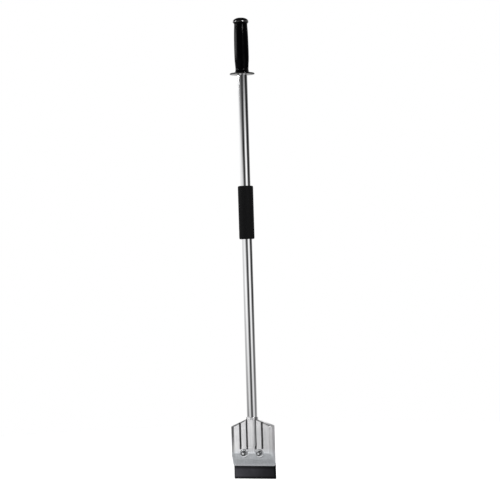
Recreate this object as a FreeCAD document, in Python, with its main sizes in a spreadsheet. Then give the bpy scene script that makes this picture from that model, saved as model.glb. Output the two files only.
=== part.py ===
import FreeCAD, Part
import math
import os
import re

import Sketcher
from FreeCAD import Placement, Rotation, Vector

# A long-handled floor and ice scraper standing on its cutting edge, in millimetres.
# +Z runs up the handle, +X along the blade, and the front of the head faces -Y.
# The origin is on the handle's axis, at the level of the cutting edge.

DIMENSIONS = {
    # handle tube
    "tube_diameter": 23.6,
    "tube_wall": 1.2,
    "tube_base": 80.0,
    "tube_top": 1058.0,
    # vinyl grip on the top end of the tube
    "grip_base": 934.4,
    "grip_top": 1066.0,
    "grip_lower_diameter": 30.6,
    "grip_middle_diameter": 34.0,
    "grip_upper_diameter": 31.0,
    "grip_lip_diameter": 36.9,
    "grip_lip_height": 10.5,
    "flange_diameter": 57.8,
    "flange_thickness": 3.2,
    "sleeve_gap": 0.05,
    # foam sleeve half way up
    "foam_diameter": 35.6,
    "foam_base": 554.0,
    "foam_length": 123.0,
    "foam_rounding": 3.5,
    # cast head
    "head_base": 30.0,
    "head_corner": 2.5,
    "apex_width": 26.0,
    "head_back": 8.2,
    "head_width": 103.0,
    "back_shoulder": 124.1,
    "back_apex": 137.2,
    "rim_front": 6.0,
    "rim_width": 100.6,
    "rim_shoulder": 122.0,
    "rim_apex": 139.0,
    "head_front": 10.5,
    "face_width": 87.8,
    "face_shoulder": 123.6,
    "face_apex": 137.8,
    "hump_front": 14.1,
    "hump_width": 16.6,
    "hump_bevel": 2.0,
    "hump_base": 62.0,
    "hump_full_height": 74.0,
    "hump_top": 139.4,
    "socket_diameter": 27.2,
    "socket_top": 143.8,
    "socket_rounding": 1.0,
    "socket_rear_base": 77.0,
    "bend_height": 61.0,
    "bend_middle": 46.0,
    "bend_middle_front": 3.0,
    "lip_height": 33.5,
    "lip_front": -4.6,
    "groove_width": 4.2,
    "inner_groove": 10.4,
    "outer_groove": 26.8,
    "inner_groove_base": 69.5,
    "outer_groove_base": 70.5,
    "groove_floor": 4.5,
    "core_inside": 18.0,
    "core_wall": 5.5,
    "core_base": 80.0,
    "core_depth": 9.0,
    # blade and its clamp
    "blade_width": 101.6,
    "blade_height": 74.0,
    "blade_thickness": 2.5,
    "blade_bevel": 5.0,
    "blade_edge": 0.6,
    "blade_step": 1.6,
    "blade_step_height": 37.0,
    "clamp_gap": 0.03,
    "slot_width": 7.0,
    "plate_width": 88.0,
    "plate_base": 35.0,
    "plate_top": 73.5,
    "plate_thickness": 3.0,
    "plate_corner": 6.0,
    # fastenings of the clamp
    "bolt_spacing": 38.0,
    "bolt_height": 60.4,
    "bolt_diameter": 6.3,
    "bolt_hole": 6.8,
    "bolt_head_diameter": 15.0,
    "bolt_head_height": 3.6,
    "bolt_neck": 6.3,
    "bolt_neck_length": 2.9,
    "bolt_reach": 18.4,
    "seat_front": 8.4,
    "seat_diameter": 19.0,
    "washer_diameter": 18.2,
    "washer_thickness": 1.6,
    "spring_diameter": 12.4,
    "spring_thickness": 1.6,
    "nut_flats": 11.1,
    "nut_height": 5.6,
    # screws that hold the tube in the socket
    "screw_low": 98.0,
    "screw_high": 122.0,
    "screw_diameter": 4.0,
    "screw_tip": 5.5,
    "screw_seat": 12.9,
    "screw_head_diameter": 8.0,
    "screw_head_height": 2.8,
    "screw_seat_diameter": 9.0,
}

# the depth of the clamp plate's rear face, behind the blade and its two thin gaps
PLATE_BACK = "head_back + blade_thickness + 2*clamp_gap + plate_thickness"

document = FreeCAD.newDocument("floor_scraper")
sheet = document.addObject("Spreadsheet::Sheet", "Sizes")
for row, (alias, size) in enumerate(DIMENSIONS.items(), start=1):
    sheet.set("A%d" % row, alias)
    sheet.set("B%d" % row, str(size))
    sheet.setAlias("B%d" % row, alias)
document.recompute()


# ---------------------------------------------------------------- formulas and sketches

def linked(formula):
    """A formula with every size name turned into a reference to the sheet."""
    def reference(word):
        name = word.group(0)
        return "Sizes." + name if name in DIMENSIONS else name
    return re.sub(r"[a-z_]+", reference, formula)


def value(formula):
    """The number that a formula of sizes comes to."""
    return float(sheet.evalExpression(linked(formula)))


def bind(item, prop, formula):
    item.setExpression(prop, linked(formula))


def new_body(label):
    body = document.addObject("PartDesign::Body", label)
    body.Label = label
    return body


def new_sketch(body, plane, offset="0"):
    """A sketch on one of the body's own planes, moved along the plane's normal.

    The XZ plane's normal points to the front, -Y.
    """
    sketch = body.newObject("Sketcher::SketchObject", "Sketch")
    support = next(item for item in body.Origin.OriginFeatures if item.Role == plane)
    sketch.AttachmentSupport = (support, "")
    sketch.MapMode = "FlatFace"
    bind(sketch, "AttachmentOffset.Base.z", offset)
    return sketch


def fix_point(sketch, geometry, position, across, up):
    """Tie a point of a sketch to the origin by two formulas."""
    for kind, formula in (("DistanceX", across), ("DistanceY", up)):
        distance = Sketcher.Constraint(kind, -1, 1, geometry, position, value(formula))
        index = sketch.addConstraint(distance)
        bind(sketch, "Constraints[%d]" % index, formula)


def draw_polygon(sketch, corners):
    """A closed outline through corners given as pairs of formulas."""
    places = [Vector(value(across), value(up), 0) for across, up in corners]
    lines = []
    for start, end in zip(places, places[1:] + places[:1]):
        lines.append(sketch.addGeometry(Part.LineSegment(start, end), False))
    for line, following in zip(lines, lines[1:] + lines[:1]):
        sketch.addConstraint(Sketcher.Constraint("Coincident", line, 2, following, 1))
    for line, (across, up) in zip(lines, corners):
        fix_point(sketch, line, 1, across, up)


def draw_circle(sketch, diameter, across="0", up="0"):
    centre = Vector(value(across), value(up), 0)
    circle = sketch.addGeometry(Part.Circle(centre, Vector(0, 0, 1), value(diameter) / 2), False)
    index = sketch.addConstraint(Sketcher.Constraint("Diameter", circle, value(diameter)))
    bind(sketch, "Constraints[%d]" % index, diameter)
    fix_point(sketch, circle, 3, across, up)


def draw_box(sketch, left, right, bottom, top):
    draw_polygon(sketch, [(left, bottom), (right, bottom), (right, top), (left, top)])


# ---------------------------------------------------------------- features

def pad(body, sketch, length, both_ways=False):
    feature = body.newObject("PartDesign::Pad", "Pad")
    feature.Profile = sketch
    feature.Midplane = both_ways
    bind(feature, "Length", length)
    return feature


def loft(body, sketches):
    """A solid with flat sides through a row of similar outlines."""
    feature = body.newObject("PartDesign::AdditiveLoft", "Loft")
    feature.Profile = sketches[0]
    feature.Sections = sketches[1:]
    feature.Ruled = True
    return feature


def pocket(body, sketch, length, backwards=False, both_ways=False):
    """Cut a sketch's outline against its normal, or along it when backwards."""
    document.recompute()
    before = body.Shape.Volume
    feature = body.newObject("PartDesign::Pocket", "Pocket")
    feature.Profile = sketch
    feature.Reversed = backwards
    feature.Midplane = both_ways
    bind(feature, "Length", length)
    document.recompute()
    if body.Shape.Volume > before - 1e-3:
        raise ValueError("a pocket of %s removes nothing" % body.Label)
    return feature


def cut_slots(body, offset, slots, width, top, length):
    """Cut upright slots, each with a round lower end centred on a pair of formulas."""
    straight = new_sketch(body, "XZ_Plane", offset)
    rounded = new_sketch(body, "XZ_Plane", offset)
    for centre, base in slots:
        draw_box(straight, "%s - %s/2" % (centre, width), "%s + %s/2" % (centre, width), base, top)
        draw_circle(rounded, width, centre, base)
    pocket(body, straight, length, backwards=True)
    pocket(body, rounded, length, backwards=True)


def turn(body, sketch):
    """Revolve a sketch of the XZ plane about the body's Z axis."""
    feature = body.newObject("PartDesign::Revolution", "Revolution")
    feature.Profile = sketch
    feature.ReferenceAxis = (sketch, ["V_Axis"])
    feature.Angle = 360
    return feature


def round_edges(body, base, radius, chosen):
    """Fillet the edges of a feature that a test picks."""
    document.recompute()
    names = ["Edge%d" % (number + 1) for number, edge in enumerate(base.Shape.Edges) if chosen(edge)]
    if not names:
        raise ValueError("no edge of %s to round" % body.Label)
    fillet = body.newObject("PartDesign::Fillet", "Fillet")
    fillet.Base = (base, names)
    bind(fillet, "Radius", radius)
    document.recompute()
    return fillet


def is_ring(edge, height, radius):
    """True for a full circle of this radius about the Z axis at this height."""
    if not isinstance(edge.Curve, Part.Circle):
        return False
    at_height = abs(edge.Curve.Center.z - height) < 1e-3
    return at_height and abs(edge.Curve.Radius - radius) < 1e-3


# ---------------------------------------------------------------- handle

def make_tube():
    """The steel handle tube, with two screw holes at the back of its lower end."""
    body = new_body("handle_tube")
    section = new_sketch(body, "XY_Plane")
    draw_circle(section, "tube_diameter")
    draw_circle(section, "tube_diameter - 2*tube_wall")
    pad(body, section, "tube_top - tube_base")
    holes = new_sketch(body, "XZ_Plane")
    for height in ("screw_low", "screw_high"):
        draw_circle(holes, "screw_diameter + 0.2", "0", height + " - tube_base")
    pocket(body, holes, "tube_diameter")
    bind(body, "Placement.Base.z", "tube_base")
    return body


def make_foam():
    """The foam sleeve, a thick ring with rounded ends."""
    body = new_body("foam_sleeve")
    section = new_sketch(body, "XZ_Plane")
    draw_box(section, "tube_diameter/2 + sleeve_gap", "foam_diameter/2", "0", "foam_length")
    ring = turn(body, section)
    outer = value("foam_diameter/2")
    ends = (0.0, value("foam_length"))
    round_edges(body, ring, "foam_rounding",
                lambda edge: any(is_ring(edge, end, outer) for end in ends))
    bind(body, "Placement.Base.z", "foam_base")
    return body


def make_grip():
    """The closed-end vinyl grip: a thin flange, a slightly barrelled hold and a domed lip."""
    body = new_body("top_grip")
    section = new_sketch(body, "XZ_Plane")
    draw_polygon(section, [
        ("0", "tube_top - grip_base + sleeve_gap"),
        ("tube_diameter/2 + sleeve_gap", "tube_top - grip_base + sleeve_gap"),
        ("tube_diameter/2 + sleeve_gap", "0"),
        ("flange_diameter/2", "0"),
        ("flange_diameter/2", "flange_thickness"),
        ("grip_lower_diameter/2 + 2", "flange_thickness"),
        ("grip_lower_diameter/2", "flange_thickness + 2.5"),
        ("grip_lower_diameter/2", "flange_thickness + 11"),
        ("grip_middle_diameter/2", "flange_thickness + 36"),
        ("grip_middle_diameter/2", "flange_thickness + 80"),
        ("grip_upper_diameter/2", "grip_top - grip_base - grip_lip_height - 7"),
        ("grip_upper_diameter/2", "grip_top - grip_base - grip_lip_height"),
        ("grip_lip_diameter/2", "grip_top - grip_base - grip_lip_height + 2.5"),
        ("grip_lip_diameter/2", "grip_top - grip_base - 4.5"),
        ("grip_lip_diameter/2 - 4", "grip_top - grip_base - 1.2"),
        ("grip_lip_diameter/2 - 10", "grip_top - grip_base"),
        ("0", "grip_top - grip_base"),
    ])
    turned = turn(body, section)
    rim = value("flange_diameter/2")
    rims = (0.0, value("flange_thickness"))
    round_edges(body, turned, "flange_thickness*0.42",
                lambda edge: any(is_ring(edge, end, rim) for end in rims))
    bind(body, "Placement.Base.z", "grip_base")
    return body


# ---------------------------------------------------------------- head

def draw_house(sketch, width, shoulder, apex):
    """The head's outline at one depth, with its corners taken off at the bottom."""
    half = "(%s/2)" % width
    draw_polygon(sketch, [
        ("-%s + head_corner" % half, "head_base"),
        (half + " - head_corner", "head_base"),
        (half, "head_base + head_corner"),
        (half, shoulder),
        ("apex_width/2", apex),
        ("-apex_width/2", apex),
        ("-" + half, shoulder),
        ("-" + half, "head_base + head_corner"),
    ])


def make_head():
    """The die-cast head: a bevelled house-shaped shell with a tube socket and a bent lower face."""
    body = new_body("head_casting")

    outlines = []
    for front, width, shoulder, apex in (
            ("-head_back", "head_width", "back_shoulder", "back_apex"),
            ("rim_front", "rim_width", "rim_shoulder", "rim_apex"),
            ("head_front", "face_width", "face_shoulder", "face_apex")):
        outline = new_sketch(body, "XZ_Plane", front)
        draw_house(outline, width, shoulder, apex)
        outlines.append(outline)
    loft(body, outlines)

    bend = new_sketch(body, "YZ_Plane")
    draw_polygon(bend, [
        ("-head_front - 2", "bend_height"),
        ("-head_front", "bend_height"),
        ("-bend_middle_front", "bend_middle"),
        ("-lip_front", "lip_height"),
        ("-lip_front", "head_base - 2"),
        ("-head_front - 2", "head_base - 2"),
    ])
    pocket(body, bend, "head_width + 10", both_ways=True)

    hump = new_sketch(body, "XY_Plane", "hump_base")
    draw_polygon(hump, [
        ("-hump_width/2", "-head_front + 3"),
        ("-hump_width/2", "-hump_front + hump_bevel"),
        ("-hump_width/2 + hump_bevel", "-hump_front"),
        ("hump_width/2 - hump_bevel", "-hump_front"),
        ("hump_width/2", "-hump_front + hump_bevel"),
        ("hump_width/2", "-head_front + 3"),
    ])
    pad(body, hump, "hump_top - hump_base")

    hump_foot = new_sketch(body, "YZ_Plane")
    draw_polygon(hump_foot, [
        ("-hump_front - 1", "hump_base - 1"),
        ("-head_front", "hump_base - 1"),
        ("-head_front", "hump_base"),
        ("-hump_front", "hump_full_height"),
        ("-hump_front - 1", "hump_full_height"),
    ])
    pocket(body, hump_foot, "hump_width + 1", both_ways=True)

    seats = new_sketch(body, "XZ_Plane")
    for side in ("-", ""):
        draw_circle(seats, "seat_diameter", side + "bolt_spacing/2", "bolt_height")
    pad(body, seats, "seat_front")

    grooves = []
    for sign in ("-", ""):
        grooves.append((sign + "inner_groove", "inner_groove_base + groove_width/2"))
        grooves.append((sign + "outer_groove", "outer_groove_base + groove_width/2"))
    cut_slots(body, "groove_floor", grooves, "groove_width", "socket_top + 3", "head_front + 8")

    barrel = new_sketch(body, "XY_Plane", "socket_rear_base")
    draw_circle(barrel, "socket_diameter")
    socket = pad(body, barrel, "socket_top - socket_rear_base")
    mouth = value("socket_top")
    outer = value("socket_diameter/2")
    round_edges(body, socket, "socket_rounding", lambda edge: is_ring(edge, mouth, outer))

    spot_faces = new_sketch(body, "XZ_Plane", "seat_front")
    for side in ("-", ""):
        draw_circle(spot_faces, "seat_diameter", side + "bolt_spacing/2", "bolt_height")
    pocket(body, spot_faces, "head_front", backwards=True)

    bolt_holes = new_sketch(body, "XZ_Plane", "-head_back - 1")
    for side in ("-", ""):
        draw_circle(bolt_holes, "bolt_hole", side + "bolt_spacing/2", "bolt_height")
    pocket(body, bolt_holes, "head_front + head_back + 8", backwards=True)

    cores = new_sketch(body, "XZ_Plane", "-head_back")
    slope = "(back_apex - back_shoulder)/(head_width/2 - apex_width/2)"
    outside = "(head_width/2 - core_wall)"
    for side in ("-", ""):
        draw_polygon(cores, [
            (side + "core_inside", "core_base"),
            (side + outside, "core_base"),
            (side + outside, "back_shoulder - core_wall"),
            (side + "core_inside", "back_shoulder - core_wall + (%s - core_inside)*%s" % (outside, slope)),
        ])
    pocket(body, cores, "core_depth", backwards=True)

    bore = new_sketch(body, "XY_Plane", "socket_top + 1")
    draw_circle(bore, "tube_diameter + 2*sleeve_gap")
    pocket(body, bore, "socket_top + 1 - tube_base")

    screw_seats = new_sketch(body, "XZ_Plane", "-screw_seat")
    screw_holes = new_sketch(body, "XZ_Plane", "-screw_seat - 2")
    for height in ("screw_low", "screw_high"):
        draw_circle(screw_seats, "screw_seat_diameter", "0", height)
        draw_circle(screw_holes, "screw_diameter + 0.1", "0", height)
    pocket(body, screw_seats, "3")
    pocket(body, screw_holes, "8", backwards=True)
    return body


# ---------------------------------------------------------------- blade and clamp

def make_blade():
    """The flat steel blade, bevelled on its front, a little narrower inside the head.

    Its two slots are open at its top edge.
    """
    body = new_body("blade")
    side = new_sketch(body, "YZ_Plane")
    draw_polygon(side, [
        ("0", "blade_bevel"),
        ("blade_thickness - blade_edge", "0"),
        ("blade_thickness", "0"),
        ("blade_thickness", "blade_height"),
        ("0", "blade_height"),
    ])
    pad(body, side, "blade_width", both_ways=True)
    slots = [(sign + "bolt_spacing/2", "bolt_height") for sign in ("-", "")]
    cut_slots(body, "-blade_thickness - 1", slots, "slot_width", "blade_height + 1", "blade_thickness + 2")
    steps = new_sketch(body, "XZ_Plane", "-blade_thickness - 1")
    for sign in ("-", ""):
        draw_box(steps, sign + "(blade_width/2 - blade_step)", sign + "(blade_width/2 + 1)",
                 "blade_step_height", "blade_height + 1")
    pocket(body, steps, "blade_thickness + 2", backwards=True)
    bind(body, "Placement.Base.y", "head_back + clamp_gap")
    return body


def make_clamp_plate():
    """The steel plate behind the blade, with square holes for the bolts' necks."""
    body = new_body("clamp_plate")
    face = new_sketch(body, "XZ_Plane", "-plate_thickness")
    draw_polygon(face, [
        ("-plate_width/2 + plate_corner", "plate_base"),
        ("plate_width/2 - plate_corner", "plate_base"),
        ("plate_width/2", "plate_base + plate_corner"),
        ("plate_width/2", "plate_top"),
        ("-plate_width/2", "plate_top"),
        ("-plate_width/2", "plate_base + plate_corner"),
    ])
    for sign in ("-", ""):
        centre = sign + "bolt_spacing/2"
        half = "(bolt_neck/2 + 0.1)"
        draw_box(face, "%s - %s" % (centre, half), "%s + %s" % (centre, half),
                 "bolt_height - " + half, "bolt_height + " + half)
    pad(body, face, "plate_thickness")
    bind(body, "Placement.Base.y", PLATE_BACK + " - plate_thickness")
    return body


def face_front(item, across, height, depth, turned=0):
    """Point a piece modelled along +Z to the front, at formulas for its X, Z and Y.

    The piece is first turned about its own axis by some degrees.
    """
    forwards = Rotation(Vector(1, 0, 0), 90)
    item.Placement = Placement(Vector(), forwards * Rotation(Vector(0, 0, 1), turned))
    bind(item, "Placement.Base.x", across)
    bind(item, "Placement.Base.y", depth)
    bind(item, "Placement.Base.z", height)


def make_bolt(label, across):
    """A carriage bolt: domed head at the back, square neck and shank along its Z axis."""
    body = new_body(label)
    section = new_sketch(body, "XZ_Plane")
    shank = "bolt_diameter/2"
    tip = PLATE_BACK + " + bolt_reach"
    draw_polygon(section, [
        ("0", "-bolt_head_height"),
        ("bolt_head_diameter*0.19", "-bolt_head_height*0.93"),
        ("bolt_head_diameter*0.34", "-bolt_head_height*0.70"),
        ("bolt_head_diameter*0.45", "-bolt_head_height*0.38"),
        ("bolt_head_diameter/2", "-bolt_head_height*0.12"),
        ("bolt_head_diameter/2", "0"),
        (shank, "0"),
        (shank, tip + " - 0.9"),
        (shank + " - 0.9", tip),
        ("0", tip),
    ])
    turn(body, section)
    neck = new_sketch(body, "XY_Plane")
    half = "bolt_neck/2"
    draw_box(neck, "-" + half, half, "-" + half, half)
    pad(body, neck, "bolt_neck_length")
    face_front(body, across, "bolt_height", PLATE_BACK)
    return body


def make_washer(label, across):
    """A flat washer on the head's spot face."""
    body = new_body(label)
    ring = new_sketch(body, "XY_Plane")
    draw_circle(ring, "washer_diameter")
    draw_circle(ring, "bolt_hole")
    pad(body, ring, "washer_thickness")
    face_front(body, across, "bolt_height", "-seat_front")
    return body


def make_spring_washer(label, across):
    """A split spring washer, flattened by the nut, with its slanting gap."""
    body = new_body(label)
    ring = new_sketch(body, "XY_Plane")
    draw_circle(ring, "spring_diameter")
    draw_circle(ring, "bolt_hole")
    pad(body, ring, "spring_thickness")
    gap = new_sketch(body, "YZ_Plane")
    draw_polygon(gap, [
        ("-0.9", "-0.1"),
        ("0.1", "-0.1"),
        ("1.1", "spring_thickness + 0.1"),
        ("0.1", "spring_thickness + 0.1"),
    ])
    pocket(body, gap, "spring_diameter", backwards=True)
    face_front(body, across, "bolt_height", "-seat_front - washer_thickness")
    return body


def make_nut(label, across, turned):
    """A hexagon nut with chamfered corners, tightened to some angle."""
    prism = document.addObject("Part::Prism", label + "_hexagon")
    prism.Polygon = 6
    bind(prism, "Circumradius", "nut_flats/(2*cos(30))")
    bind(prism, "Height", "nut_height")

    cone = document.addObject("Part::Cone", label + "_chamfer")
    reach = "nut_flats*0.485"
    bind(cone, "Radius1", "%s + nut_height*tan(60)" % reach)
    bind(cone, "Radius2", reach)
    bind(cone, "Height", "nut_height")

    blank = document.addObject("Part::Common", label + "_blank")
    blank.Base = prism
    blank.Tool = cone

    thread = document.addObject("Part::Cylinder", label + "_bore")
    bind(thread, "Radius", "bolt_diameter/2 + 0.04")
    bind(thread, "Height", "nut_height")

    nut = document.addObject("Part::Cut", label)
    nut.Label = label
    nut.Base = blank
    nut.Tool = thread
    depth = "-seat_front - washer_thickness - spring_thickness"
    face_front(nut, across, "bolt_height", depth, turned)
    return nut


def make_socket_screw(label, height):
    """A pan-head screw through the back of the socket into the tube."""
    body = new_body(label)
    section = new_sketch(body, "XZ_Plane")
    shank = "screw_diameter/2"
    draw_polygon(section, [
        ("0", "-screw_head_height"),
        ("screw_head_diameter*0.32", "-screw_head_height*0.9"),
        ("screw_head_diameter/2", "-screw_head_height*0.45"),
        ("screw_head_diameter/2", "0"),
        (shank, "0"),
        (shank, "screw_seat - screw_tip - 0.8"),
        (shank + " - 0.8", "screw_seat - screw_tip"),
        ("0", "screw_seat - screw_tip"),
    ])
    turn(body, section)
    recess = new_sketch(body, "XY_Plane", "-screw_head_height - 0.1")
    arm = "0.55"
    reach = "1.9"
    draw_polygon(recess, [
        ("-" + arm, "-" + reach), (arm, "-" + reach),
        (arm, "-" + arm), (reach, "-" + arm),
        (reach, arm), (arm, arm),
        (arm, reach), ("-" + arm, reach),
        ("-" + arm, arm), ("-" + reach, arm),
        ("-" + reach, "-" + arm), ("-" + arm, "-" + arm),
    ])
    pocket(body, recess, "1.4", backwards=True)
    face_front(body, "0", height, "screw_seat")
    return body


# ---------------------------------------------------------------- assembly

pieces = [
    make_tube(),
    make_foam(),
    make_grip(),
    make_head(),
    make_blade(),
    make_clamp_plate(),
    make_socket_screw("socket_screw_lower", "screw_low"),
    make_socket_screw("socket_screw_upper", "screw_high"),
]
for side_name, place, nut_turn in (("left", "-bolt_spacing/2", 12), ("right", "bolt_spacing/2", 36)):
    pieces.append(make_bolt("carriage_bolt_" + side_name, place))
    pieces.append(make_washer("flat_washer_" + side_name, place))
    pieces.append(make_spring_washer("spring_washer_" + side_name, place))
    pieces.append(make_nut("clamp_nut_" + side_name, place, nut_turn))
document.recompute()

failed = [item.Label for item in document.Objects if {"Invalid", "Error"} & set(item.State)]
failed += [piece.Label for piece in pieces if piece.Shape.isNull() or not piece.Shape.isValid()]
if failed:
    raise ValueError("not built: " + ", ".join(failed))

os.makedirs("parts", exist_ok=True)
for piece in pieces:
    piece.Shape.exportStep("parts/%s.step" % piece.Label)
    box = piece.Shape.BoundBox
    print("%-22s %d solid %9.0f mm3  x %7.1f %7.1f  y %6.1f %6.1f  z %7.1f %7.1f" % (
        piece.Label, len(piece.Shape.Solids), piece.Shape.Volume,
        box.XMin, box.XMax, box.YMin, box.YMax, box.ZMin, box.ZMax))
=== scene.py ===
import math

import bmesh
import bpy
from mathutils import Matrix, Vector, noise


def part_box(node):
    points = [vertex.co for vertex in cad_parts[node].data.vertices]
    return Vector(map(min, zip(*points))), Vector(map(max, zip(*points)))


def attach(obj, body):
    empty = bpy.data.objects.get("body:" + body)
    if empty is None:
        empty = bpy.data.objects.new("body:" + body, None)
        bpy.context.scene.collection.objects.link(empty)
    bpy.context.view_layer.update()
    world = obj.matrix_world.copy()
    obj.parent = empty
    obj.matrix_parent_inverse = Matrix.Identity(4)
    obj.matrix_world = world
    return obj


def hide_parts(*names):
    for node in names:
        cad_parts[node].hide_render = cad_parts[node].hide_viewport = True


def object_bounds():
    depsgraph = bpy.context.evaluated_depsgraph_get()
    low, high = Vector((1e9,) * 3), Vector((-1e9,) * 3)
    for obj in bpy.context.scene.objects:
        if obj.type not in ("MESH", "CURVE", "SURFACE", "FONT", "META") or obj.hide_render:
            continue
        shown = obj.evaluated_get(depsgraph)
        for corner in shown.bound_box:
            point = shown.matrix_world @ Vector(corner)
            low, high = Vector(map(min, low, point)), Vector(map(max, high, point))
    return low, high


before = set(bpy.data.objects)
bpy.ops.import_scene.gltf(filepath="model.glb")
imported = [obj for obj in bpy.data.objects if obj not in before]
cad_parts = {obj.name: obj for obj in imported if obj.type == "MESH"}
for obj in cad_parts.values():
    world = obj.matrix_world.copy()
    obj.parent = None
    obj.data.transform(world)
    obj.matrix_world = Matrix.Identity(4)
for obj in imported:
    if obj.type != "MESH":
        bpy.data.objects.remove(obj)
CAD_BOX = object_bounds()
MM = 0.001

# ---------------------------------------------------------------- camera and room

CAMERA_AZIMUTH = math.radians(20.0)      # towards +X from the front
CAMERA_DISTANCE = 4.6
CAMERA_HEIGHT = 0.49
CAMERA_ROLL = math.radians(1.685)        # the handle's top leans to the left
FIELD_HEIGHT = 1.1543                    # metres that fill the frame at the handle
AIM_RIGHT, AIM_UP = 0.0064, -0.0041      # the frame's middle, from the object's middle
SENSOR = 36.0
FLOOR_RADIUS = 1.6                       # metres


def make_camera():
    low, high = CAD_BOX
    middle = Vector((0, 0, (low.z + high.z) / 2))
    tilt = math.asin((CAMERA_HEIGHT - middle.z) / CAMERA_DISTANCE)
    back = Vector((math.sin(CAMERA_AZIMUTH) * math.cos(tilt), -math.cos(CAMERA_AZIMUTH) * math.cos(tilt),
                   math.sin(tilt)))
    level = Vector((math.cos(CAMERA_AZIMUTH), math.sin(CAMERA_AZIMUTH), 0))
    upright = back.cross(level)
    right = level * math.cos(CAMERA_ROLL) - upright * math.sin(CAMERA_ROLL)
    up = upright * math.cos(CAMERA_ROLL) + level * math.sin(CAMERA_ROLL)
    place = middle + right * AIM_RIGHT + up * AIM_UP + back * CAMERA_DISTANCE
    data = bpy.data.cameras.new("camera")
    data.sensor_width = SENSOR
    data.lens = SENSOR * CAMERA_DISTANCE / FIELD_HEIGHT
    data.clip_start, data.clip_end = 0.1, 50.0
    camera = bpy.data.objects.new("camera", data)
    turned = Matrix((right, up, back)).transposed()
    camera.matrix_world = Matrix.Translation(place) @ turned.to_4x4()
    bpy.context.scene.collection.objects.link(camera)
    bpy.context.scene.camera = camera


class Nodes:
    """A short way to write a node tree."""

    def __init__(self, tree):
        self.tree = tree
        tree.nodes.clear()

    def add(self, kind, inputs=None, **settings):
        node = self.tree.nodes.new(kind)
        for name, setting in settings.items():
            setattr(node, name, setting)
        for name, source in (inputs or {}).items():
            socket = node.inputs[name]
            if isinstance(source, bpy.types.NodeSocket):
                self.tree.links.new(source, socket)
            else:
                socket.default_value = source
        return node

    def math(self, operation, first, second=0.0):
        return self.add("ShaderNodeMath", {0: first, 1: second}, operation=operation).outputs[0]

    def product(self, first, *others):
        for other in others:
            first = self.math("MULTIPLY", first, other)
        return first

    def highest(self, first, *others):
        for other in others:
            first = self.math("MAXIMUM", first, other)
        return first

    def split(self, vector):
        """The X, Y and Z of a vector."""
        return tuple(self.add("ShaderNodeSeparateXYZ", {0: vector}).outputs)

    def spread(self, source, low, high, start=0.3, end=0.7):
        """A value that goes from low to high while the source goes from start to end."""
        node = self.add("ShaderNodeMapRange", {"Value": source, "From Min": start, "From Max": end,
                                               "To Min": low, "To Max": high})
        return node.outputs["Result"]

    def along(self, source, low, high, start, end):
        """The same for a source in metres, with its start and end given in millimetres."""
        return self.spread(source, low, high, start * MM, end * MM)

    def stretched(self, where, scale):
        """Object coordinates scaled by axis, for grain that runs one way."""
        return self.add("ShaderNodeMapping", {"Vector": where, "Scale": scale}).outputs["Vector"]

    def noise(self, where, scale, detail, roughness=0.5):
        inputs = {"Vector": where, "Scale": scale, "Detail": detail, "Roughness": roughness}
        return self.add("ShaderNodeTexNoise", inputs).outputs["Fac"]

    def cells(self, where, scale):
        return self.add("ShaderNodeTexVoronoi", {"Vector": where, "Scale": scale}).outputs["Distance"]

    def bump(self, height, strength, distance, under=None):
        """A bumped normal, on top of another one if it is given."""
        inputs = {"Height": height, "Strength": strength, "Distance": distance}
        if under is not None:
            inputs["Normal"] = under
        return self.add("ShaderNodeBump", inputs).outputs["Normal"]

    def ramp(self, factor, stops):
        """A ramp through stops of (place, shade), where a shade is a grey or a colour."""
        node = self.add("ShaderNodeValToRGB", {"Fac": factor})
        ramp = node.color_ramp
        while len(ramp.elements) < len(stops):
            ramp.elements.new(0.5)
        for element, (place, shade) in zip(ramp.elements, stops):
            element.position = place
            colour = shade if isinstance(shade, tuple) else (shade, shade, shade)
            element.color = (*colour, 1.0)
        return node.outputs["Color"]

    def mix(self, factor, first, second, blend="MIX"):
        node = self.add("ShaderNodeMix", data_type="RGBA", blend_type=blend)
        for index, source in ((0, factor), (6, first), (7, second)):
            if isinstance(source, bpy.types.NodeSocket):
                self.tree.links.new(source, node.inputs[index])
            else:
                node.inputs[index].default_value = source
        return node.outputs[2]


def around(degrees):
    """An azimuth, -180 to 180, as a place on a ramp from 0 to 1."""
    return (degrees + 180.0) / 360.0


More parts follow.
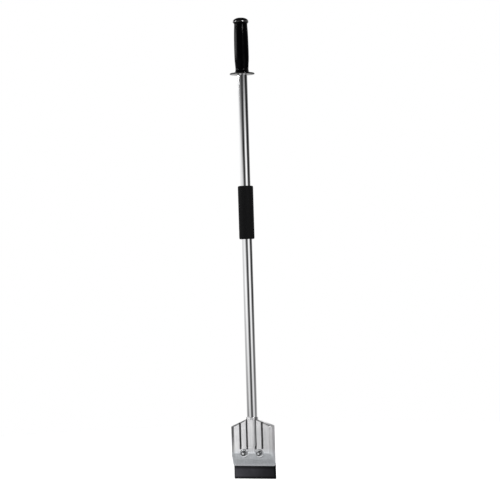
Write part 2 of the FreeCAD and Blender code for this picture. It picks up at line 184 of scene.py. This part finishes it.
# The room's brightness by azimuth, on six rings from well below the horizon to well above it.
# The white sweep has a dark gap where the camera stands and a dark side on the right.
ROOM_RINGS = [
    (-0.300, [(-180, 0.60), (-140, 0.45), (-112, 0.16), (-90, 0.08), (-66, 0.20), (-46, 1.20), (-30, 2.20),
              (-14, 2.10), (0, 1.10), (18, 0.60), (36, 0.70), (58, 0.95), (80, 0.90), (104, 0.50),
              (140, 0.50), (180, 0.60)]),
    (-0.080, [(-180, 0.66), (-160, 0.68), (-130, 0.58), (-108, 0.44), (-90, 0.28), (-74, 0.14), (-55, 0.34),
              (-38, 0.62), (-24, 0.78), (-6, 0.48), (6, 0.12), (20, 0.03), (32, 0.08), (46, 0.36), (64, 0.86),
              (78, 0.66), (94, 0.34), (110, 0.14), (140, 0.42), (180, 0.66)]),
    (-0.010, [(-180, 0.55), (-160, 0.78), (-132, 0.74), (-108, 0.64), (-86, 0.62), (-62, 0.88), (-42, 1.15),
              (-24, 1.05), (-10, 0.40), (4, 0.10), (18, 0.02), (29, 0.06), (42, 0.64), (60, 1.30), (78, 0.66),
              (94, 0.10), (108, 0.01), (128, 0.01), (150, 0.26), (180, 0.55)]),
    (0.060, [(-180, 0.55), (-160, 1.05), (-130, 1.05), (-108, 1.05), (-80, 0.96), (-56, 0.74), (-38, 0.56),
             (-22, 0.20), (-6, 0.03), (8, 0.01), (18, 0.02), (30, 0.40), (44, 1.00), (60, 1.25), (70, 0.50),
             (84, 0.08), (100, 0.01), (122, 0.01), (146, 0.16), (180, 0.55)]),
    (0.100, [(-180, 0.60), (-160, 1.05), (-130, 1.05), (-108, 0.98), (-84, 0.82), (-66, 0.40), (-50, 0.14),
             (-30, 0.13), (-10, 0.10), (4, 0.05), (18, 0.01), (32, 0.05), (50, 0.22), (66, 0.20), (78, 0.08),
             (90, 0.01), (104, 0.01), (122, 0.02), (150, 0.20), (180, 0.60)]),
    (0.300, [(-180, 1.90), (-150, 1.60), (-120, 0.80), (-80, 0.45), (-50, 0.28), (60, 0.28), (90, 0.45),
             (120, 0.80), (150, 1.60), (180, 1.90)]),
]
# and further down and up, by the sine of the elevation
ROOM_BELOW = [(-1.0, 0.03), (-0.94, 0.08), (-0.86, 0.30), (-0.78, 0.46), (-0.55, 0.62)]
ROOM_OVER = [(0.45, 0.40), (0.70, 0.12), (1.0, 0.10)]


def make_world():
    world = bpy.data.worlds.new("studio")
    world.use_nodes = True
    bpy.context.scene.world = world
    n = Nodes(world.node_tree)
    x, y, rise = n.split(n.add("ShaderNodeTexCoord").outputs["Generated"])
    turn = n.math("ARCTAN2", x, n.math("MULTIPLY", y, -1.0))
    place = n.math("ADD", n.math("MULTIPLY", turn, 1 / (2 * math.pi)), 0.5)
    height = n.math("ADD", n.math("MULTIPLY", rise, 0.5), 0.5)
    plain = n.ramp(height, [(0.5 + 0.5 * sine, shade) for sine, shade in ROOM_BELOW + ROOM_OVER])
    room, below = plain, ROOM_BELOW[-1][0]
    for level, ring in ROOM_RINGS:
        shade = n.ramp(place, [(around(angle), value) for angle, value in ring])
        room = n.mix(n.spread(rise, 0.0, 1.0, below, level), room, shade)
        below = level
    room = n.mix(n.spread(rise, 0.0, 1.0, below, ROOM_OVER[0][0]), room, plain)
    lit = n.add("ShaderNodeBackground", {"Color": room, "Strength": 1.0})
    white = n.add("ShaderNodeBackground", {"Color": (1.0, 1.0, 1.0, 1.0), "Strength": 1.0})
    seen = n.add("ShaderNodeLightPath").outputs["Is Camera Ray"]
    shader = n.add("ShaderNodeMixShader", {0: seen, 1: lit.outputs[0], 2: white.outputs[0]})
    n.add("ShaderNodeOutputWorld", {"Surface": shader.outputs[0]})


def area_light(name, place, target, size, watts, mirrored=False):
    """A rectangular lamp, its size given as width and height in metres."""
    data = bpy.data.lights.new(name, "AREA")
    data.shape = "RECTANGLE"
    data.size, data.size_y = size
    data.energy = watts
    lamp = bpy.data.objects.new(name, data)
    lamp.location = place
    lamp.rotation_mode = "QUATERNION"
    lamp.rotation_quaternion = (Vector(place) - Vector(target)).to_track_quat("Z", "Y")
    lamp.visible_glossy = mirrored
    bpy.context.scene.collection.objects.link(lamp)


def make_floor():
    bm = bmesh.new()
    bmesh.ops.create_circle(bm, cap_ends=True, segments=96, radius=FLOOR_RADIUS)
    floor = link_mesh("floor", bm)
    material = new_material("pale_floor")
    n = Nodes(material.node_tree)
    matt = n.add("ShaderNodeBsdfDiffuse", {"Color": (0.86, 0.86, 0.86, 1)})
    glow = n.add("ShaderNodeEmission", {"Color": (1, 1, 1, 1), "Strength": 0.62})
    both = n.add("ShaderNodeAddShader", {0: matt.outputs[0], 1: glow.outputs[0]})
    n.add("ShaderNodeOutputMaterial", {"Surface": both.outputs[0]})
    floor.data.materials.append(material)
    floor.visible_glossy = False


# ---------------------------------------------------------------- mesh helpers

def link_mesh(name, bm, smooth=True):
    mesh = bpy.data.meshes.new(name)
    bm.to_mesh(mesh)
    bm.free()
    mesh.polygons.foreach_set("use_smooth", [smooth] * len(mesh.polygons))
    piece = bpy.data.objects.new(name, mesh)
    bpy.context.scene.collection.objects.link(piece)
    return piece


def lathe(name, profile, segments=128, reshape=None):
    """Turn a profile of (radius, height) about the Z axis, closed where the radius is 0.

    reshape moves a point: from its angle, radius and height to a new radius and height.
    """
    bm = bmesh.new()
    rings = []
    for radius, height in profile:
        if radius < 1e-6:
            rings.append([bm.verts.new((0, 0, reshape(0.0, 0.0, height)[1] if reshape else height))])
            continue
        ring = []
        for step in range(segments):
            angle = 2 * math.pi * step / segments
            reach, rise = reshape(angle, radius, height) if reshape else (radius, height)
            ring.append(bm.verts.new((reach * math.sin(angle), -reach * math.cos(angle), rise)))
        rings.append(ring)
    pairs = list(zip(rings, rings[1:]))
    if len(rings[0]) > 1 and len(rings[-1]) > 1:
        pairs.append((rings[-1], rings[0]))
    for first, second in pairs:
        for step in range(segments):
            after = (step + 1) % segments
            corners = [first[step % len(first)], first[after % len(first)],
                       second[after % len(second)], second[step % len(second)]]
            bm.faces.new(list(dict.fromkeys(corners)))
    bmesh.ops.recalc_face_normals(bm, faces=bm.faces)
    return link_mesh(name, bm)


def curve_through(points, steps=6):
    """A smooth Catmull-Rom curve through points given in millimetres, in metres."""
    ends = [points[0]] + list(points) + [points[-1]]
    curve = []
    for before, start, end, after in zip(ends, ends[1:], ends[2:], ends[3:]):
        for step in range(steps):
            t = step / steps
            spot = []
            for a, b, c, d in zip(before, start, end, after):
                spot.append(0.5 * (2 * b + (c - a) * t + (2 * a - 5 * b + 4 * c - d) * t * t
                                   + (3 * b - a - 3 * c + d) * t ** 3) * MM)
            curve.append(tuple(spot))
    curve.append(tuple(value * MM for value in points[-1]))
    return curve


def rounded(points, radius, steps=3):
    """A profile of (radius, height) in millimetres with its inner corners rounded, in metres."""
    curve = [Vector(points[0])]
    for before, corner, after in zip(points, points[1:], points[2:]):
        corner = Vector(corner)
        back, forth = Vector(before) - corner, Vector(after) - corner
        cut = min(radius, back.length * 0.45, forth.length * 0.45)
        start, end = corner + back.normalized() * cut, corner + forth.normalized() * cut
        for step in range(steps + 1):
            t = step / steps
            curve.append(start * (1 - t) ** 2 + corner * 2 * t * (1 - t) + end * t ** 2)
    curve.append(Vector(points[-1]))
    return [(spot.x * MM, spot.y * MM) for spot in curve]


def baked(piece, name):
    """The mesh of a piece with its modifiers applied."""
    seen = piece.evaluated_get(bpy.context.evaluated_depsgraph_get())
    mesh = bpy.data.meshes.new_from_object(seen)
    mesh.name = name
    return mesh


def keep_inside(piece, low, high):
    """Hold a mesh within a box."""
    for vertex in piece.data.vertices:
        for axis in range(3):
            vertex.co[axis] = min(max(vertex.co[axis], low[axis]), high[axis])


def new_material(name):
    material = bpy.data.materials.new(name)
    material.use_nodes = True
    return material


def dress(piece, material):
    piece.data.materials.clear()
    piece.data.materials.append(material)


def stand_for(piece, node, material):
    """Use a finer mesh in place of a CAD node."""
    dress(piece, material)
    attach(piece, "root")
    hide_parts(node)


# ---------------------------------------------------------------- materials

def surface(name, build):
    """A material whose Principled shader a function sets up."""
    material = new_material(name)
    n = Nodes(material.node_tree)
    shader = n.add("ShaderNodeBsdfPrincipled")
    n.add("ShaderNodeOutputMaterial", {"Surface": shader.outputs[0]})
    where = n.add("ShaderNodeTexCoord").outputs["Object"]
    build(n, shader.inputs, where, lambda source, socket: n.tree.links.new(source, shader.inputs[socket]))
    return material


def chrome(n, sockets, where, link):
    """Bright plating over drawn tube: faint lines along the tube and a few dull smears."""
    sockets["Metallic"].default_value = 1.0
    smear = n.noise(n.stretched(where, (1, 1, 0.25)), 70.0, 4.0)
    lines = n.noise(n.stretched(where, (1, 1, 0.02)), 1800.0, 2.0)
    link(n.ramp(smear, [(0.35, (0.87, 0.875, 0.885)), (0.65, (0.92, 0.922, 0.93))]), "Base Color")
    link(n.spread(smear, 0.02, 0.07), "Roughness")
    link(n.bump(lines, 0.12, 0.00002), "Normal")


# the casting's face, in millimetres: heights, and distances from its middle
FACE_APEX, FACE_APEX_SIDE = 137.8, 13.0
FACE_SHOULDER, FACE_SHOULDER_SIDE = 123.6, 43.0
SHOULDER_SLOPE = (FACE_APEX - FACE_SHOULDER) / (FACE_SHOULDER_SIDE - FACE_APEX_SIDE)
SHOULDER_TOP = FACE_APEX + FACE_APEX_SIDE * SHOULDER_SLOPE     # where the shoulders' lines would meet
BEND = (60.0, 72.0)                      # where its lower face turns into its upper one
INNER_GROOVE, OUTER_GROOVE, GROOVE_REACH = 10.4, 26.8, 2.2
# the colours of the painted shade on the casting's edges, slopes and lip, and in its grooves
PAINTED_EDGE_SHADE = (0.15, 0.15, 0.155, 1.0)
PAINTED_GROOVE_SHADE = (0.10, 0.10, 0.105, 1.0)


def cast_metal(n, sockets, where, link):
    """Die-cast metal, finely lined along the handle, with painted light and shade set by place: lighter at
    the top and left, darker bands on its edges and in its grooves.
    """
    sockets["Metallic"].default_value = 0.85
    x, y, z = n.split(where)
    beside = n.math("ABSOLUTE", x)
    cloud = n.noise(where, 40.0, 6.0, 0.62)
    grain = n.noise(where, 1100.0, 3.0, 0.6)
    lines = n.noise(n.stretched(where, (1, 1, 0.10)), 330.0, 4.0, 0.6)

    # painted light and shade: lighter towards the top and the left, darker towards the right, as the light
    # falls; cooler below the bend
    low_tone = n.ramp(cloud, [(0.3, (0.84, 0.87, 0.91)), (0.7, (0.91, 0.94, 0.97))])
    high_tone = n.ramp(cloud, [(0.3, (0.865, 0.865, 0.88)), (0.7, (0.935, 0.93, 0.94))])
    tone = n.mix(n.along(z, 0.0, 1.0, *BEND), low_tone, high_tone)
    painted_right_shade = n.product(n.along(x, 0.0, 0.24, -40.0, 40.0), n.along(z, 0.35, 1.0, *BEND))
    grain_and_painted_light = n.product(n.spread(lines, 0.86, 1.05), n.along(z, 0.92, 1.05, 60.0, 125.0),
                     n.math("SUBTRACT", 1.0, painted_right_shade))
    face = n.mix(1.0, tone, grain_and_painted_light, "MULTIPLY")

    # painted shade: darker bands on the left edge and shoulder, on the slopes above and on the lower lip
    front = n.along(y, 1.0, 0.0, -6.0, -4.8)
    left = n.product(n.along(x, 0.95, 0.0, -42.5, -41.3), n.along(z, 0.20, 1.0, 58.0, 100.0), front)
    sloping = n.math("ADD", z, n.math("MULTIPLY", beside, SHOULDER_SLOPE))
    shoulder = n.product(n.along(sloping, 0.0, 0.9, SHOULDER_TOP - 3.2, SHOULDER_TOP - 2.1),
                         n.along(x, 1.0, 0.0, -16.0, -13.0), front)
    upwards = n.split(n.add("ShaderNodeTexCoord").outputs["Normal"])[2]
    above = n.product(n.spread(upwards, 0.0, 1.0, 0.15, 0.35), front, n.along(x, 1.0, 0.15, -10.0, 24.0),
                      n.along(beside, 0.0, 1.0, 13.6, 14.6))
    lip = n.product(n.along(z, 0.55, 0.0, 33.6, 34.2), n.along(z, 0.0, 1.0, 29.0, 30.0))
    skin = n.mix(n.highest(left, shoulder, above, lip), face, PAINTED_EDGE_SHADE)

    def groove(place):
        """1 within a groove's reach of its middle, 0 a little further out."""
        off = n.math("ABSOLUTE", n.math("SUBTRACT", beside, place * MM))
        return n.along(off, 1.0, 0.0, GROOVE_REACH, GROOVE_REACH + 0.3)

    # painted shade inside the grooves, a little lighter in the outer ones
    sunk = n.product(n.highest(groove(INNER_GROOVE), n.product(groove(OUTER_GROOVE), 0.85)),
                     n.along(y, 0.0, 1.0, -11.6, -8.0), n.along(y, 1.0, 0.0, -3.2, -2.2),
                     n.along(z, 0.0, 1.0, 68.5, 76.0))
    link(n.mix(sunk, skin, PAINTED_GROOVE_SHADE), "Base Color")
    link(n.spread(cloud, 0.42, 0.32), "Roughness")
    link(n.bump(lines, 0.12, 0.0003, n.bump(grain, 0.30, 0.0001)), "Normal")


OXIDE_BLACK = (0.0005, 0.0005, 0.0005, 1.0)
PAINTED_LIGHT_GREY = (0.052, 0.051, 0.059, 1.0)


def black_steel(n, sockets, where, link):
    """Black oxide sheet: cloudy, with painted light greying it towards its left end, painted shade at its
    ends and bottom, a painted shadow under the casting's lip, and fine grinding lines across it.
    """
    sockets["Specular IOR Level"].default_value = 0.05
    x, _, z = n.split(where)
    cloud = n.noise(where, 28.0, 6.0, 0.65)
    lines = n.noise(n.stretched(where, (0.03, 1, 1)), 1500.0, 3.0)
    # painted light, greyer to the left; painted shade at both ends and along the bottom; a painted shadow
    # just under the casting's lip. The cloud is the sheet's own uneven tone.
    cloud_and_painted_light = n.product(n.along(x, 1.0, 0.22, -46.0, 40.0), n.spread(cloud, 0.75, 1.25),
                       n.along(x, 1.0, 0.1, 45.5, 48.0), n.along(x, 0.35, 1.0, -50.6, -48.4),
                       n.along(z, 1.0, 0.5, 22.5, 24.5), n.along(z, 0.25, 1.0, 2.5, 7.5))
    link(n.mix(cloud_and_painted_light, OXIDE_BLACK, PAINTED_LIGHT_GREY), "Base Color")
    link(n.spread(cloud, 0.34, 0.50), "Roughness")
    link(n.bump(lines, 0.15, 0.00004), "Normal")


def plated(n, sockets, where, link, dark, light):
    """Plated steel between two tones, with a faint cloud and blotches."""
    sockets["Metallic"].default_value = 1.0
    link(n.ramp(n.noise(where, 240.0, 4.0), [(0.3, dark), (0.7, light)]), "Base Color")
    link(n.spread(n.cells(where, 420.0), 0.24, 0.36, 0.0, 0.8), "Roughness")


def zinc(n, sockets, where, link):
    """Bright zinc plating."""
    plated(n, sockets, where, link, (0.60, 0.615, 0.635), (0.73, 0.74, 0.755))


def nut_steel(n, sockets, where, link):
    """The nuts' darker plating."""
    plated(n, sockets, where, link, (0.09, 0.095, 0.10), (0.16, 0.165, 0.17))


def vinyl(n, sockets, where, link):
    """Dipped vinyl: deep black and smooth, glossier on its lip and, except at the right, on its flange."""
    sockets["Base Color"].default_value = (0.0008, 0.0008, 0.0010, 1)
    sockets["Specular IOR Level"].default_value = 0.035
    sockets["Coat IOR"].default_value = 1.65
    sockets["Coat Roughness"].default_value = 0.12
    x, _, z = n.split(where)
    lip = n.product(n.along(z, 0.0, 1.0, 1053.8, 1055.2), n.along(z, 1.0, 0.25, 1057.4, 1058.6))
    flange = n.product(n.along(z, 0.55, 0.0, 937.5, 938.5), n.along(x, 1.0, 0.05, 13.0, 20.0))
    link(n.math("ADD", lip, flange), "Coat Weight")
    link(n.spread(n.noise(where, 80.0, 4.0), 0.10, 0.16), "Roughness")
    link(n.bump(n.noise(where, 900.0, 2.0), 0.10, 0.00006), "Normal")


def foam(n, sockets, where, link):
    """Closed-cell foam: small open cells with painted shade in their pits, and a slow unevenness."""
    sockets["Roughness"].default_value = 0.62
    sockets["Specular IOR Level"].default_value = 0.07
    cells = n.cells(where, 1000.0)
    pits = n.noise(where, 260.0, 5.0, 0.7)
    # painted shade: darker at the cells' middles, where their bump is lowest
    link(n.ramp(cells, [(0.0, 0.001), (0.6, (0.004, 0.004, 0.0045))]), "Base Color")
    link(n.bump(pits, 0.35, 0.0006, n.bump(cells, 0.45, 0.0003)), "Normal")


# ---------------------------------------------------------------- grip and foam

# radius and height in millimetres, from the flange's underside up to the middle of the dome
GRIP_OUTSIDE = [
    (11.95, 0.5), (12.6, 0.0), (20.0, 0.0), (27.4, 0.05), (28.5, 0.7), (28.86, 1.7), (28.5, 2.7),
    (27.2, 3.4), (22.0, 4.3), (18.0, 5.6), (16.2, 7.6), (15.4, 10.4), (15.2, 13.6), (15.5, 17.5),
    (15.9, 24.0), (16.6, 33.0), (16.9, 47.0), (16.85, 61.0), (16.7, 75.0), (16.5, 88.5), (16.05, 102.0),
    (15.6, 111.0), (15.4, 115.5), (15.6, 117.4), (16.8, 119.2), (18.0, 120.3), (18.40, 121.2),
    (18.20, 123.4), (17.8, 124.9), (17.0, 126.2), (15.6, 127.6), (13.4, 129.1), (10.4, 130.4),
    (7.0, 131.2), (3.5, 131.54), (0.0, 131.58),
]
EVEN_RADIUS = 13.0                       # inside it the grip and the foam lie on the tube and stay even
DOME_CREST = 130.2                       # above this height the grip's dome stays even too


def make_grip():
    low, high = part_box("top_grip")
    base = low.z / MM

    def ripple(angle, radius, height):
        if radius < EVEN_RADIUS * MM or height > low.z + DOME_CREST * MM:
            return radius, height
        spot = Vector((math.sin(angle) * 20, math.cos(angle) * 20, height / MM))
        dent = 0.10 * (1 + noise.noise(spot * 0.09)) / 2 + 0.03 * noise.noise(spot * 0.4)
        return radius - dent * MM, height

    grip = lathe("vinyl_grip", curve_through([(r, base + z) for r, z in GRIP_OUTSIDE]), 160, ripple)
    keep_inside(grip, low, high)
    stand_for(grip, "top_grip", surface("black_vinyl", vinyl))


def make_foam():
    low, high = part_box("foam_sleeve")
    inner, outer, rounding = 11.86, 17.78, 3.0
    base, top = low.z / MM, high.z / MM
    quarter = [math.radians(15 * step) for step in range(7)]
    middle, low_middle, high_middle = outer - rounding, base + rounding, top - rounding
    profile = [(inner, base + 0.6), (inner + 0.6, base)]
    profile += [(middle + rounding * math.sin(a), low_middle - rounding * math.cos(a)) for a in quarter]
    profile += [(outer, low_middle + (high_middle - low_middle) * step / 90) for step in range(1, 90)]
    profile += [(middle + rounding * math.cos(a), high_middle + rounding * math.sin(a)) for a in quarter]
    profile += [(inner + 0.6, top), (inner, top - 0.6)]

    def uneven(angle, radius, height):
        if radius < EVEN_RADIUS * MM:
            return radius, height
        spot = Vector((math.sin(angle) * 17, math.cos(angle) * 17, height / MM))
        dent = 0.14 * (1 + noise.noise(spot * 0.10)) / 2 + 0.05 * (1 + noise.noise(spot * 0.8)) / 2
        return radius - dent * MM, height

    sleeve = lathe("foam_tube", [(r * MM, z * MM) for r, z in profile], 144, uneven)
    stand_for(sleeve, "foam_sleeve", surface("black_foam", foam))


# ---------------------------------------------------------------- head

def make_head():
    """The casting with its edges softened and its skin slightly uneven."""
    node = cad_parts["head_casting"]
    low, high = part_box("head_casting")
    rough = bpy.data.objects.new("rough_head", node.data.copy())
    bpy.context.scene.collection.objects.link(rough)
    welded = bmesh.new()
    welded.from_mesh(rough.data)
    bmesh.ops.remove_doubles(welded, verts=welded.verts, dist=1e-6)
    welded.to_mesh(rough.data)
    welded.free()
    remesh = rough.modifiers.new("even", "REMESH")
    remesh.mode = "VOXEL"
    remesh.voxel_size = 0.55 * MM
    smooth = rough.modifiers.new("soften", "SMOOTH")
    smooth.factor = 0.5
    smooth.iterations = 5
    head = bpy.data.objects.new("cast_head", baked(rough, "cast_head"))
    head.data.transform(node.matrix_world)
    bpy.data.objects.remove(rough)
    bpy.context.scene.collection.objects.link(head)
    skin = [(vertex.co.copy(), vertex.normal.copy()) for vertex in head.data.vertices]
    for vertex, (place, outwards) in zip(head.data.vertices, skin):
        spot = place / MM
        dent = 0.05 * (1 + noise.noise(spot * 0.12)) / 2 + 0.03 * (1 + noise.noise(spot * 0.5)) / 2
        vertex.co = place - outwards * dent * MM
    keep_inside(head, low, high)
    head.data.polygons.foreach_set("use_smooth", [True] * len(head.data.polygons))
    stand_for(head, "head_casting", surface("cast_aluminium", cast_metal))


# ---------------------------------------------------------------- fastenings

TOWARDS_FRONT = Matrix.Rotation(math.radians(90), 4, "X")


def aim_front(piece, node, depth):
    """Turn a piece modelled along +Z to the front, centred on a CAD node, from a depth in metres."""
    low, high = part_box(node)
    middle = (low + high) / 2
    piece.data.transform(Matrix.Translation((middle.x, depth, middle.z)) @ TOWARDS_FRONT)
    keep_inside(piece, low, high)


def thread(pitch, depth, start, end):
    """A screw thread between two heights, in millimetres, that fades out at both."""
    def shape(angle, radius, height):
        z = height / MM
        fade = min(max((z - start) / pitch, 0.0), max((end - z) / pitch, 0.0), 1.0)
        turn = (z / pitch - angle / (2 * math.pi)) % 1.0
        flank = min(abs(turn - 0.5) * 2.6, 1.0)
        return radius - depth * MM * fade * flank, height
    return shape


def make_bolt(node, finish):
    """A carriage bolt from its domed head forwards: square neck, plain shank and rolled thread."""
    low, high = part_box(node)
    head, shank, neck, start = 3.6, 3.15, 2.9, 14.0
    seat = high.y / MM - head
    tip = seat - low.y / MM
    dome = [(0.0, -head), (1.7, -3.56), (3.7, -3.25), (5.5, -2.5), (6.8, -1.5), (7.4, -0.65), (7.5, -0.25),
            (7.3, 0.0)]
    profile = [(r * MM, z * MM) for r, z in dome]
    profile += [(shank * MM, z * MM) for z in (0.001, 0.1, 1.0, 2.0, 2.7, 2.9, 3.1, 4.0, 8.0, 12.0)]
    length = tip - 0.9 - start
    count = int(length / 0.14)
    profile += [(shank * MM, (start + length * step / count) * MM) for step in range(count + 1)]
    profile += [((shank - 0.35) * MM, (tip - 0.4) * MM), ((shank - 0.85) * MM, tip * MM),
                ((shank - 1.8) * MM, tip * MM), (0.0, tip * MM)]
    rolled = thread(1.27, 0.60, start, tip - 0.3)

    def shape(angle, radius, height):
        z = height / MM
        if 0 < z < neck and radius < 5 * MM:
            square = shank / max(abs(math.sin(angle)), abs(math.cos(angle)))
            return min(square, 4.2) * MM, height
        if z > start and radius > 2.7 * MM:
            return rolled(angle, radius, height)
        return radius, height

    bolt = lathe(node + "_mesh", profile, 48, shape)
    aim_front(bolt, node, seat * MM)
    stand_for(bolt, node, finish)


def make_nut(node, turned, finish):
    """A hexagon nut, chamfered at both ends, with a countersunk thread, at its CAD node's angle."""
    low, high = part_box(node)
    flats, height, bore = 11.1, (high.y - low.y) / MM, 3.2
    corner = flats / 2 / math.cos(math.radians(30))
    outside = rounded([(bore, 0.7), (bore + 0.6, 0.0), (5.1, 0.0), (5.3, 0.05), (corner, 0.6),
                       (corner, height - 0.7), (5.25, height), (4.8, height), (bore + 0.6, height),
                       (bore, height - 0.7)], 0.3)

    def shape(angle, radius, z):
        from_flat = (math.degrees(angle) - turned - 120 + 30) % 60 - 30
        return min(radius, flats / 2 * MM / math.cos(math.radians(from_flat))), z

    nut = lathe(node + "_mesh", outside, 96, shape)
    aim_front(nut, node, high.y)
    stand_for(nut, node, finish)


def make_washer(node, finish):
    """A stamped flat washer: rolled over at its front, sharp at its back."""
    low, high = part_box(node)
    outer, bore, thick = 9.1, 3.4, (high.y - low.y) / MM
    profile = rounded([(bore, thick / 2), (bore, 0.0), (outer, 0.0), (outer, thick - 0.45),
                       (outer - 0.5, thick), (bore + 0.3, thick), (bore, thick - 0.2),
                       (bore, thick / 2)], 0.2)
    washer = lathe(node + "_mesh", profile[:-1], 96)
    aim_front(washer, node, high.y)
    stand_for(washer, node, finish)


def make_spring_washer(node, finish):
    """A split spring washer: a bar of square section bent nearly all the way round."""
    low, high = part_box(node)
    outer, bore, thick = 6.2, 3.4, (high.y - low.y) / MM
    ease = 0.22
    section = [(bore + ease, 0), (outer - ease, 0), (outer, ease), (outer, thick - ease),
               (outer - ease, thick), (bore + ease, thick), (bore, thick - ease), (bore, ease)]
    bm = bmesh.new()
    rings = []
    steps = 90
    for step in range(steps + 1):
        share = step / steps
        ring = []
        for radius, z in section:
            lean = (z / thick - 0.5) * 9.0 * math.sin(math.pi * (share - 0.5))
            angle = math.radians(98 + 344 * share + lean * (1 if share > 0.5 else -1))
            spot = (radius * math.cos(angle), radius * math.sin(angle), z)
            ring.append(bm.verts.new(Vector(spot) * MM))
        rings.append(ring)
    for first, second in zip(rings, rings[1:]):
        for index in range(len(section)):
            after = (index + 1) % len(section)
            bm.faces.new([first[index], first[after], second[after], second[index]])
    bm.faces.new(rings[0])
    bm.faces.new(list(reversed(rings[-1])))
    bmesh.ops.recalc_face_normals(bm, faces=bm.faces)
    washer = link_mesh(node + "_mesh", bm, smooth=False)
    aim_front(washer, node, high.y)
    stand_for(washer, node, finish)


def make_socket_screw(node, finish):
    """A pan-head screw with a tapering cross recess and a fine thread."""
    low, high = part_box(node)
    head, shank = 2.8, 1.98
    seat = high.y / MM - head
    tip = seat - low.y / MM
    radii = [0.0, 0.2, 0.4, 0.6, 0.8, 1.0, 1.2, 1.4, 1.6, 1.8, 2.0, 2.3, 2.8, 3.3, 3.7, 3.93, 4.0, 4.0, 3.85]
    depths = [head] * 10 + [2.78, 2.72, 2.5, 2.1, 1.6, 1.15, 0.7, 0.25, 0.0]
    profile = [(r * MM, -z * MM) for r, z in zip(radii, depths)]
    length = tip - 0.9
    count = int(length / 0.1)
    profile += [(shank * MM, (0.1 + length * step / count) * MM) for step in range(count + 1)]
    profile += [(1.2 * MM, tip * MM), (0.0, tip * MM)]
    rolled = thread(0.7, 0.32, 0.6, tip - 0.3)

    def shape(angle, radius, height):
        z = height / MM
        if z <= 0.1 - head and radius < 2.1 * MM:
            reach = radius / MM
            off_arm = min(abs(math.sin(angle)), abs(math.cos(angle))) * reach
            wall = min(max((0.62 - off_arm) / 0.25, 0.0), 1.0)
            end = min(max((1.95 - reach) / 0.7, 0.0), 1.0)
            return radius, height + 1.3 * MM * wall * end
        if z > 0.3 and radius > 1.9 * MM:
            return rolled(angle, radius, height)
        return radius, height

    screw = lathe(node + "_mesh", profile, 72, shape)
    aim_front(screw, node, seat * MM)
    stand_for(screw, node, finish)


# ---------------------------------------------------------------- the rest of the CAD

def soften(piece, width):
    """Round the sharp edges of a CAD node a little."""
    bevel = piece.modifiers.new("soft_edges", "BEVEL")
    bevel.width = width
    bevel.segments = 2
    bevel.limit_method = "ANGLE"
    bevel.angle_limit = math.radians(25)


def dress_cad(finish):
    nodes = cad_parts
    for piece in nodes.values():
        dress(piece, finish)
    dress(nodes["handle_tube"], surface("chrome_plate", chrome))
    dress(nodes["blade"], surface("black_oxide", black_steel))
    soften(nodes["blade"], 0.15 * MM)
    soften(nodes["clamp_plate"], 0.3 * MM)


def make_all():
    make_camera()
    make_world()
    make_floor()
    area_light("overhead", (0.3, -0.6, 3.6), (0, 0, 0.3), (2.7, 2.7), 30.0)
    area_light("left_strip", (-2.44, -0.60, 1.34), (0, 0, 1.34), (2.0, 0.30), 14.0, mirrored=True)
    area_light("left_spot", (-2.05, -1.43, 1.80), (0, 0, 1.20), (0.6, 0.36), 14.0, mirrored=True)
    area_light("right_strip", (1.86, -1.67, 1.80), (0, 0, 1.20), (0.60, 0.36), 36.0, mirrored=True)
    bright = surface("bright_zinc", zinc)
    dark = surface("dark_nut", nut_steel)
    dress_cad(bright)
    make_grip()
    make_foam()
    make_head()
    for side, nut_turn in (("left", 12), ("right", 36)):
        make_bolt("carriage_bolt_" + side, bright)
        make_washer("flat_washer_" + side, bright)
        make_spring_washer("spring_washer_" + side, bright)
        make_nut("clamp_nut_" + side, nut_turn, dark)
    make_socket_screw("socket_screw_lower", bright)
    make_socket_screw("socket_screw_upper", bright)
    bpy.context.scene.view_settings.view_transform = "Standard"


make_all()
